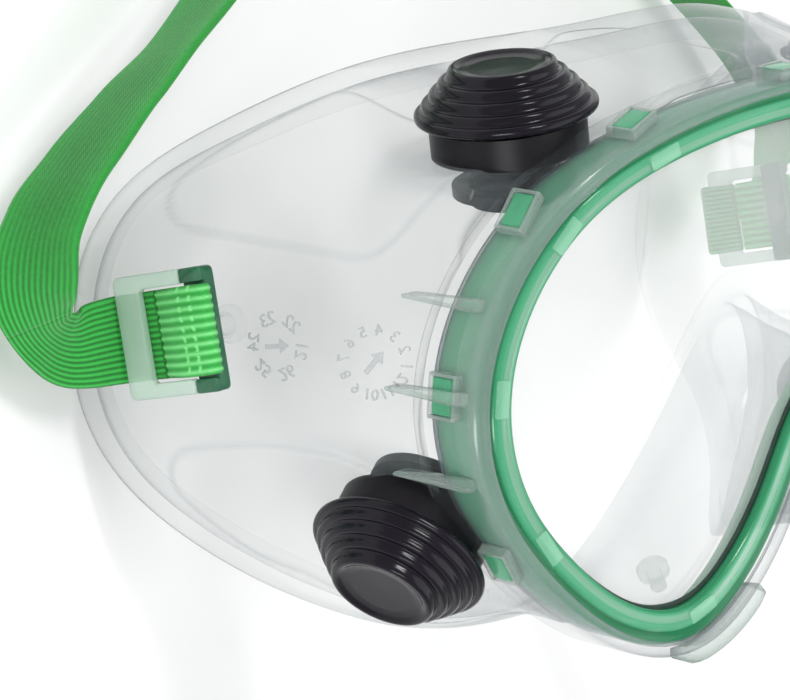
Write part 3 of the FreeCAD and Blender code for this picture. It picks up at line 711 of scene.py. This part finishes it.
def build_ring():
    net, tone = [], []
    for offset, lift, shade in RING_PROFILE:
        net.append(at_lens(offset, lift))
        tone.append(np.full(COLUMNS, shade))
    net = np.array(net)
    faces = grid_faces(len(net), COLUMNS, close_rows=True, close_cols=True, flip=True)
    ring = mesh("green_lens_ring", net.reshape(-1, 3), faces, RING, "frame", facts={"tone": np.array(tone)})
    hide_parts("lens_ring")
    lugs, tabs, frames = [], [], []
    for share in LUG_SHARES + tuple(1 - s for s in LUG_SHARES):
        u = np.array([share])
        along = np.append(unit(SIGHT(u, slope=True))[0], 0.0)
        spot = offset_outline(SIGHT, u, RING_OFFSET)[0]
        base = placed((spot[0], spot[1], lens_z(spot[0], -2.2)), (0, 0, 1), along)
        v, f = slab(box(-2.8, 2.8, -1.9, 0.8), -1.7, 1.7, 0.35, 0.3)
        lugs.append((moved(v, base), f))
        for x0, x1 in ((-3.5, -2.95), (2.95, 3.5)):
            v, f = slab(box(x0, x1, -2.0, -0.2), -2.2, 2.2, 0.15, 0.15)
            frames.append((moved(v, base), f))
        for lift in (-2.4, 1.9):
            v, f = slab(box(-3.5, 3.5, -2.0, -0.2), lift, lift + 0.6, 0.15, 0.15)
            frames.append((moved(v, base), f))
        face = offset_outline(SIGHT, u, 1.8)[0]
        slope = np.array([face[0] / LENS_RADIUS, 0, 1.0])
        top = placed((face[0], face[1], lens_z(face[0], 2.0)), slope, along)
        v, f = slab(box(-2.9, 2.9, -1.15, 1.15), 0.0, 0.42, 0.4, 0.15)
        tabs.append((moved(v, top), f))
    for name, parts, material, slot, tone_value in (("ring_lugs", lugs, RING, "ring_green", 0.5),
                                                    ("ring_windows", tabs, RING, "ring_green", 0.9),
                                                    ("lug_pockets", frames, RIB, "clear_pvc", 0.0)):
        verts, faces = joined(parts)
        piece = mesh(name, verts, faces, material, "frame", facts={"tone": np.full(len(verts), tone_value)})


build_ring()

# ------------------------------------------------------------------ vent caps

CAP_PROFILE = [  # radius, height
    (0.01, 12.75), (5.2, 12.8), (6.5, 13), (7.1, 13.35), (7.6, 13.5), (8.1, 13.32), (8.35, 12.8),
    (8.45, 12), (8.75, 11.7), (9.3, 11.75), (9.75, 11.58), (9.98, 11.1), (10.05, 10.45),
    (10.35, 10.15), (10.85, 10.2), (11.25, 10), (11.45, 9.55), (11.5, 8.85), (11.8, 8.55),
    (12.25, 8.6), (12.6, 8.4), (12.78, 7.95), (12.82, 7.4), (13.05, 7.15), (13.45, 7.18),
    (13.85, 6.95), (14.0, 6.5), (13.95, 5.9), (13.6, 5.52), (13.0, 5.45), (12.4, 5.7), (12.0, 6.5),
    (10.5, 6.7), (2.2, 6.7), (2.15, 11.2), (0.01, 11.2)]


def build_caps():
    profile = rounded(CAP_PROFILE, 0.25, 2)
    verts, faces = revolve(profile, 128)
    for where, matrix in VENT_FRAMES.items():
        cap = mesh("stepped_cap_" + where, moved(verts, matrix), faces, CAP, "cap_" + where)
        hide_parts("vent_cap_" + where)


build_caps()

# ------------------------------------------------------------------ buckles


def build_buckles():
    for side, matrix in BUCKLE_FRAMES.items():
        corners = [(4.45, -9.5), (17.0, -9.5), (17.7, -8.8), (17.7, 8.8), (17.0, 9.5), (4.45, 9.5),
                   (4.45, 7.2), (12.4, 7.2), (12.9, 6.7), (12.9, -6.7), (12.4, -7.2), (4.45, -7.2)]
        plan = rounded(corners, 0.5, 3, closed=True)
        tangent = unit(np.roll(plan, -1, 0) - np.roll(plan, 1, 0))
        inward = np.stack([-tangent[:, 1], tangent[:, 0]], 1)
        loops = []
        for inset, z in ((0.3, 2.0), (0.08, 2.08), (0.0, 2.3), (0.0, 3.2), (0.08, 3.42), (0.3, 3.5)):
            loops.append(np.column_stack([plan + inward * inset, np.full(len(plan), z)]))
        v, f = loops_mesh(loops)
        plate = mesh("clear_buckle_" + side, moved(v, matrix), f, BUCKLE, "buckle_" + side)
        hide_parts("buckle_plate_" + side)
        v, f = slab(box(0.0, 4.3, -9.5, 9.5), 0.3, 2.5, 0.9, 0.3)
        bar = mesh("cross_bar_" + side, moved(v, matrix), f, BAR, "buckle_" + side)
        tv, tf = joined([slab(box(0.0, 4.3, y0, y1), 2.3, 3.45, 0.5, 0.25)
                         for y0, y1 in ((7.3, 9.5), (-7.3, -9.5))])
        ends = mesh("bar_tips_" + side, moved(tv, matrix), tf, BAR, "buckle_" + side)
        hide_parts("anchor_bar_" + side)
        profile = [(0.01, -3.2), (2.1, -3.2), (2.1, -0.3), (1.9, 0.0), (0.01, 0.0)]
        v, f = revolve(rounded(profile, 0.25, 3), 48)
        boss_at = matrix @ np.array([[1, 0, 0, 2.15], [0, 1, 0, 0], [0, 0, 1, 0], [0, 0, 0, 1.0]])
        boss = mesh("buckle_boss_" + side, moved(v, boss_at), f, PIN, "frame")


build_buckles()

# ------------------------------------------------------------------ strap


def ribbon(centre, width_dir, along, name, material, body, ribs, depth, wide, flat_shaded):
    """Ribbed elastic along a line of points: a closed tube with a flat ribbed section."""
    count = len(centre)
    tangent = unit(np.gradient(centre, axis=0))
    width_dir = unit(width_dir - tangent * (width_dir * tangent).sum(-1, keepdims=True))
    normal = np.cross(tangent, width_dir)
    half = STRAP_THICK / 2
    n = ribs * 8
    face = np.linspace(-1, 1, n + 1)
    swell = 0.5 + 0.5 * np.cos((face + 1) / 2 * ribs * 2 * math.pi + math.pi)
    edge = 1 - smooth(0.9, 1.0, np.abs(face))
    face, swell, edge = (np.concatenate([row, row[::-1]]) for row in (face, swell, edge))
    side = np.where(np.arange(len(face)) < len(face) // 2, 1.0, -1.0)
    cols = len(face)
    depth = depth * (1 - 0.75 * flat_shaded)[:, None]
    high = side * (half - depth * (1 - swell)) * (0.45 + 0.55 * edge)
    net = centre[:, None] + width_dir[:, None] * (face * wide[:, None] / 2)[..., None]
    net = net + normal[:, None] * high[..., None]
    faces = grid_faces(count, cols, close_cols=True).tolist()
    faces += [list(range(cols - 1, -1, -1)), list(range((count - 1) * cols, count * cols))]
    # Painted light and shade: rib crests lighter and grooves darker, fading past the fold, where the middle
    # of the strap is painted darker as shade.
    rib_shade = 0.34 - 0.25 * (1 - face ** 2) * flat_shaded[:, None] + (swell - 0.3) * (1 - 0.85 * flat_shaded[:, None])
    facts = {"along": np.repeat(along[:, None], cols, 1),
             "across": np.repeat((face * STRAP_WIDE / 2)[None], count, 0), "rib_shade": rib_shade}
    piece = mesh(name, net.reshape(-1, 3), faces, material, body, facts=facts)
    return piece


def strap_line(side):
    """The stretch in the buckle: curled at the bar, over it, down through the window, under the plate."""
    matrix = BUCKLE_FRAMES[side]
    local = [(-0.2, 2.3), (0.1, 3.2), (1.6, 3.5), (4.3, 3.45), (6.6, 2.9), (9.2, 1.7),
             (11.4, 1.05), (14.0, 1.0), (18.0, 1.0)]
    points = moved([(x, 0, z) for x, z in local], matrix)
    return points, np.tile(matrix[:3, 1] * np.sign(matrix[1, 1]), (len(points), 1))


route = np.array([at for at, _ in STRAP_ROUTE])
route_width = unit(np.array([w for _, w in STRAP_ROUTE], float))
right_line, right_width = strap_line("right")
left_line, left_width = strap_line("left")
all_points = np.vstack([right_line, route, left_line[::-1]])
all_width = np.vstack([right_width, route_width, left_width[::-1]])
path = Spline(all_points)
total = path.t[-1]
fine = np.linspace(0, 1, int(total / STATION))
centre = path(fine)
knots = path.t / total
segment = np.clip(np.searchsorted(knots, fine, side="right") - 1, 0, len(knots) - 2)
blend_share = smooth(0, 1, (fine - knots[segment]) / (knots[segment + 1] - knots[segment]))[:, None]
width = all_width[segment] * (1 - blend_share) + all_width[segment + 1] * blend_share
along = fine * total
upright = np.abs(unit(width)[:, 2])
low = centre[:, 2] - upright * STRAP_WIDE / 2
low = low - STRAP_THICK / 2 * np.sqrt(np.clip(1 - upright ** 2, 0, 1))
centre[:, 2] += np.maximum(0, REST_LEVEL + FLOOR_GAP - low)
from_end = np.minimum(along, total - along)
gathered = np.exp(-((from_end - GATHER_AT) / GATHER_LONG) ** 2)
wavy = STRAP_WIDE + 0.22 * np.sin(along / 7.3) + 0.15 * np.sin(along / 3.9 + 1.0)
wavy = wavy * (1 - GATHER_SHARE * gathered)
# 0 near the buckles, 1 past the fold: flatter ribs and painted shade down the middle of the strap.
flat_shaded = smooth(FLAT_SHADED_FROM, FLAT_SHADED_TO, from_end)
first_bend, second_bend = total * knots[len(right_line) + 3], total * knots[-len(left_line) - 4]
lap_r, lap_l = total * knots[6] - OVERLAP, total * knots[-7] + OVERLAP
pieces = (
    ("strap_lap_right", along <= lap_r + 0.3, "right"),
    ("strap_lap_left", along >= lap_l - 0.3, "left"),
    ("strap_tail_right", (along >= lap_r) & (along <= first_bend), "right"),
    ("strap_loop", (along >= first_bend - 0.6) & (along <= second_bend + 0.6), None),
    ("strap_tail_left", (along >= second_bend) & (along <= lap_l), "left"))
for name, pick, side in pieces:
    if name.startswith("strap_lap"):
        lap_along = along[pick] if side == "right" else total - along[pick]
        piece = ribbon(centre[pick], width[pick], lap_along, name, STRAP_END_LIT, "buckle_" + side,
                       10, 0.3, wavy[pick], flat_shaded[pick])
        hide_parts("strap_end_" + side)
        continue
    piece = ribbon(centre[pick], width[pick], along[pick], name, STRAP, None if side else "frame",
                   15, 0.16, wavy[pick], flat_shaded[pick])
    if side:
        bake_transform(piece)
        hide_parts("strap_end_" + side)
    else:
        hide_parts("strap_band")
print("strap, laid flat: %.1f mm" % total)

# ------------------------------------------------------------------ carried-over CAD nodes

CARRIED = {"lens": LENS, "lens_seal": SEAL, "nose_stud_right": RIB, "nose_stud_left": RIB,
           "buckle_rivet_right": PIN, "buckle_rivet_left": PIN, "strap_slider": BAR}
for where in VENT_FRAMES:
    CARRIED["vent_base_" + where] = INNER_BLACK
    CARRIED["vent_retainer_" + where] = INNER_BLACK
for node, material in CARRIED.items():
    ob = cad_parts[node]
    ob.data.materials.clear()
    ob.data.materials.append(material)

# ------------------------------------------------------------------ floor, light and camera

floor_mat, tree, bsdf = node_material("floor_white", "floor")
plain_colour(tree, bsdf, noise(tree, 3.0), [(0.0, (0.93, 0.93, 0.93)), (1.0, (0.96, 0.96, 0.96))])
bsdf.inputs["Roughness"].default_value = 0.9
data = bpy.data.meshes.new("floor")
data.from_pydata([(x, y, REST_LEVEL * 0.001) for x, y in box(-3, 3, -3, 3)], [], [(0, 1, 2, 3)])
data.materials.append(floor_mat)
floor = bpy.data.objects.new("floor", data)
bpy.context.scene.collection.objects.link(floor)

world = bpy.data.worlds.new("studio")
bpy.context.scene.world = world
world.use_nodes = True
world.node_tree.nodes["Background"].inputs["Color"].default_value = (1, 1, 1, 1)
world.node_tree.nodes["Background"].inputs["Strength"].default_value = 0.64


def area_light(name, at, aim, size, power):
    light = bpy.data.lights.new(name, "AREA")
    light.shape = "RECTANGLE"
    light.size, light.size_y = size
    light.energy = power
    ob = bpy.data.objects.new(name, light)
    bpy.context.scene.collection.objects.link(ob)
    ob.location = at
    ob.rotation_euler = (Vector(aim) - Vector(at)).to_track_quat("-Z", "Y").to_euler()


area_light("key", (-0.35, 0.55, 0.75), (-0.04, 0.0, 0.03), (0.10, 0.30), 3.2)
area_light("front", (-0.85, -0.35, 0.55), (-0.05, 0.0, 0.03), (0.12, 0.40), 2.9)
area_light("top", (0.3, -0.1, 0.95), (0.0, 0.0, 0.03), (0.9, 0.9), 3.5)

bpy.context.scene.view_settings.view_transform = "Standard"
bpy.context.scene.cycles.transparent_max_bounces = 32

camera = bpy.data.cameras.new("camera")
camera.sensor_fit = "HORIZONTAL"
camera.sensor_width = 36.0
camera.lens = 139.4
camera.clip_start, camera.clip_end = 0.02, 20.0
camera_ob = bpy.data.objects.new("camera", camera)
bpy.context.scene.collection.objects.link(camera_ob)
right, back = Vector((0.596, 0.051, 0.802)), Vector((-0.791, 0.208, 0.575))
right.normalize()
back = (back - right * back.dot(right)).normalized()
up = back.cross(right)
pose = Matrix((right, up, back)).transposed().to_4x4()
pose.translation = Vector((-0.4333, 0.0996, 0.3075))
camera_ob.matrix_world = pose
bpy.context.scene.camera = camera_ob
